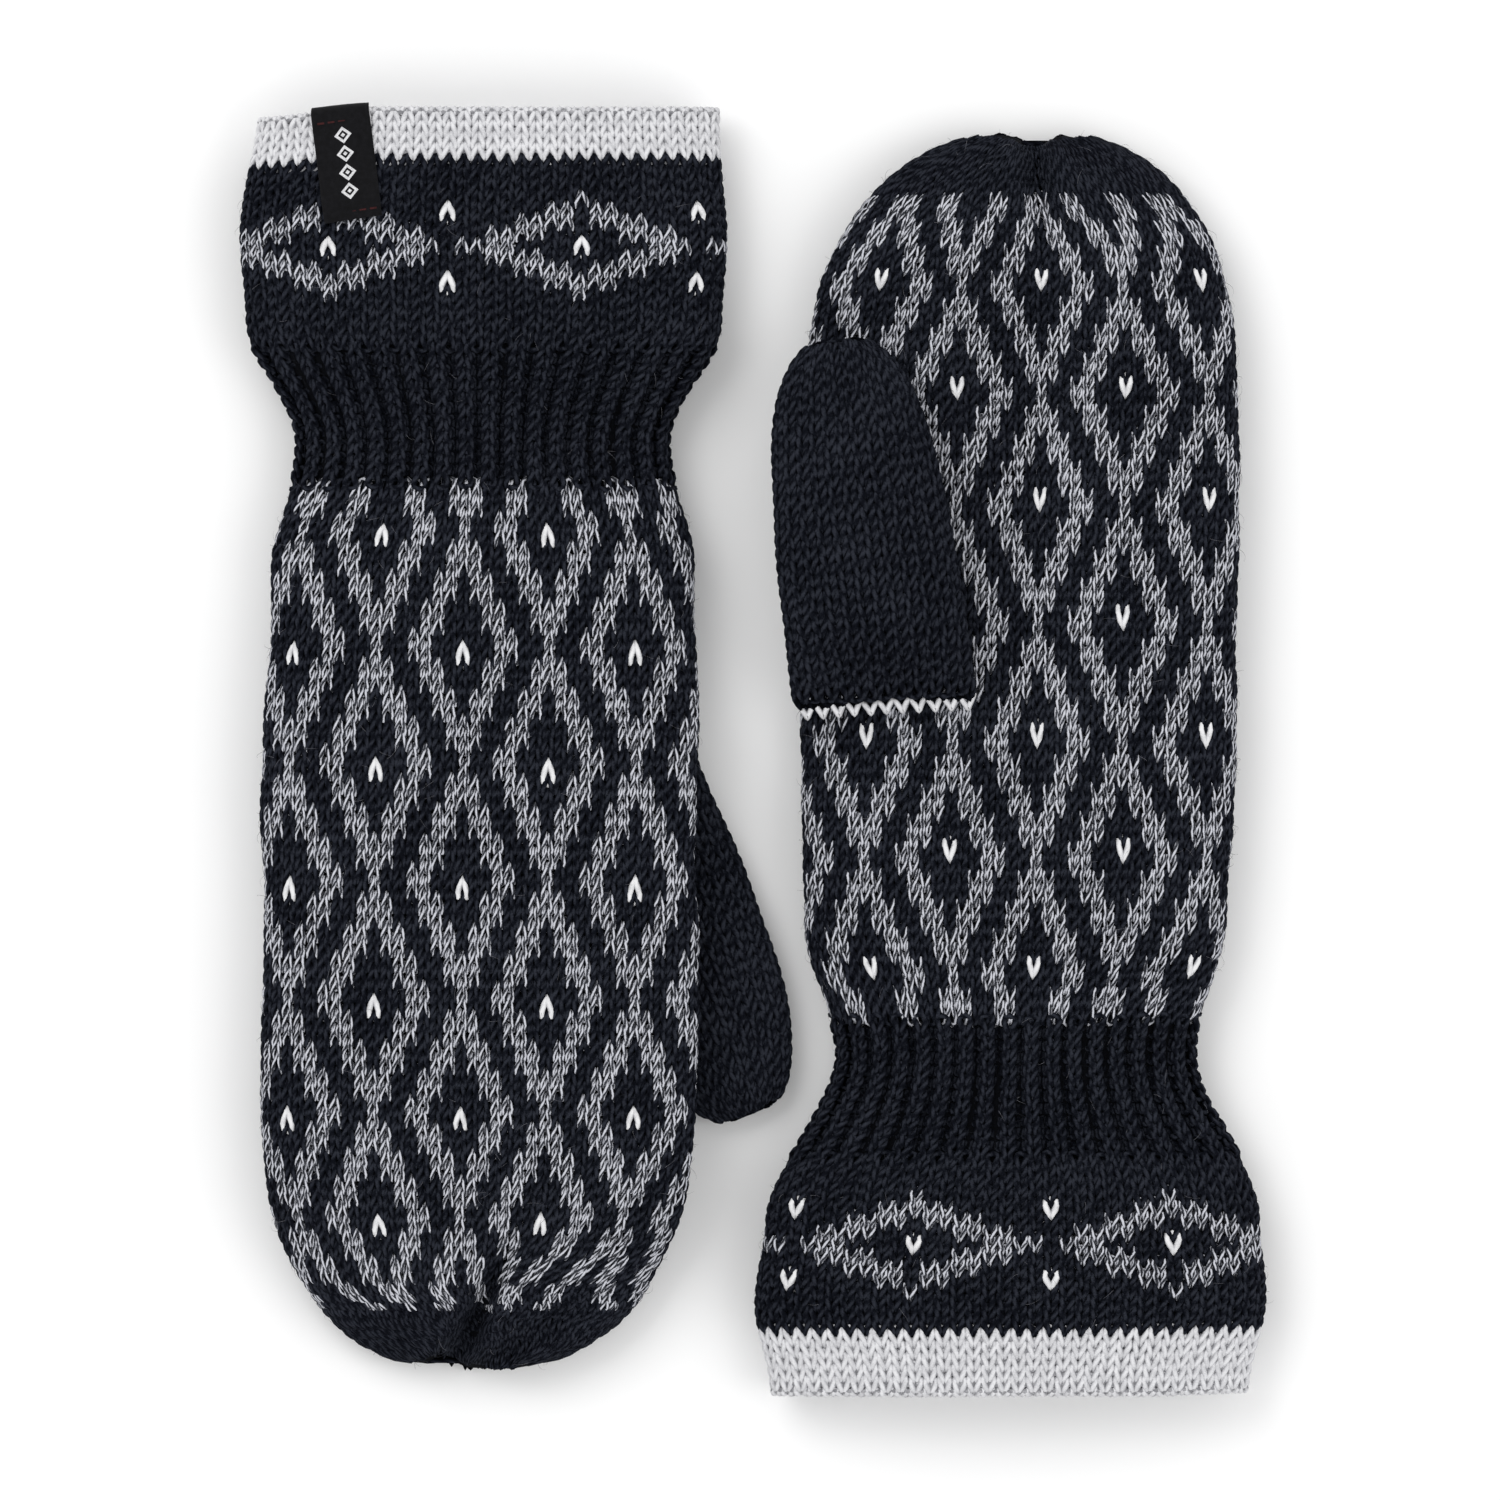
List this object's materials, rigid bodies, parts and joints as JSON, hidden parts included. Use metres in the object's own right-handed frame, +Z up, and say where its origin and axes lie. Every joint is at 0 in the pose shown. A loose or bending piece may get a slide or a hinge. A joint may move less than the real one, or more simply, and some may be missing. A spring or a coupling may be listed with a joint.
{
  "type": "pair of knitted mittens",
  "caption": "Pair of lined knitted mittens with flared cuffs, light band edges and a stepped diamond pattern, lying flat with one back up and one palm up.",
  "frame": {"origin": "centre of the pair's plan, on the surface that the pair lies on", "axes": "+Y along the mittens, towards the left mitten's cuff and the right mitten's tip; +X from the left mitten to the right one; +Z up, away from the surface"},
  "size_m": [0.2262, 0.2827, 0.0289],
  "materials": {
    "main_yarn": "soft knitted yarn, slightly fuzzy",
    "band_yarn": "light knitted yarn",
    "lining_pile": "brushed pile",
    "label_weave": "tight satin weave",
    "label_thread": "fine polyester thread"
  },
  "bodies": {
    "left_mitten": {"left_cuff_band": "band_yarn", "left_cuff": "main_yarn", "left_wrist_rib": "main_yarn", "left_hand_shell": "main_yarn", "left_hand_lining": "lining_pile", "left_tip_gather": "main_yarn", "label": "label_weave", "label_stitches": "label_thread"},
    "left_thumb": {"left_thumb_shell": "main_yarn", "left_thumb_lining": "lining_pile", "left_thumb_join_row": "band_yarn", "left_thumb_tip_gather": "main_yarn"},
    "right_mitten": {"right_cuff_band": "band_yarn", "right_cuff": "main_yarn", "right_wrist_rib": "main_yarn", "right_hand_shell": "main_yarn", "right_hand_lining": "lining_pile", "right_tip_gather": "main_yarn", "right_thumb_join_row": "band_yarn"},
    "right_thumb": {"right_thumb_shell": "main_yarn", "right_thumb_lining": "lining_pile", "right_thumb_tip_gather": "main_yarn"}
  },
  "joints": [
    {"name": "right_mitten_lift", "type": "slide", "parent": "left_mitten", "child": "right_mitten", "axis": [0, 0, 1], "range_m": [0, 0.1]},
    {"name": "right_thumb_fold", "type": "hinge", "parent": "right_mitten", "child": "right_thumb", "pos_m": [0.02894, 0.009, 0.0185], "axis": [0.9907, 0.1357, 0], "range_deg": [0, 80]},
    {"name": "left_thumb_swing", "type": "hinge", "parent": "left_mitten", "child": "left_thumb", "pos_m": [-0.0314, -0.009, 0.0056], "axis": [0, 0, 1], "range_deg": [-20, 3]}
  ]
}
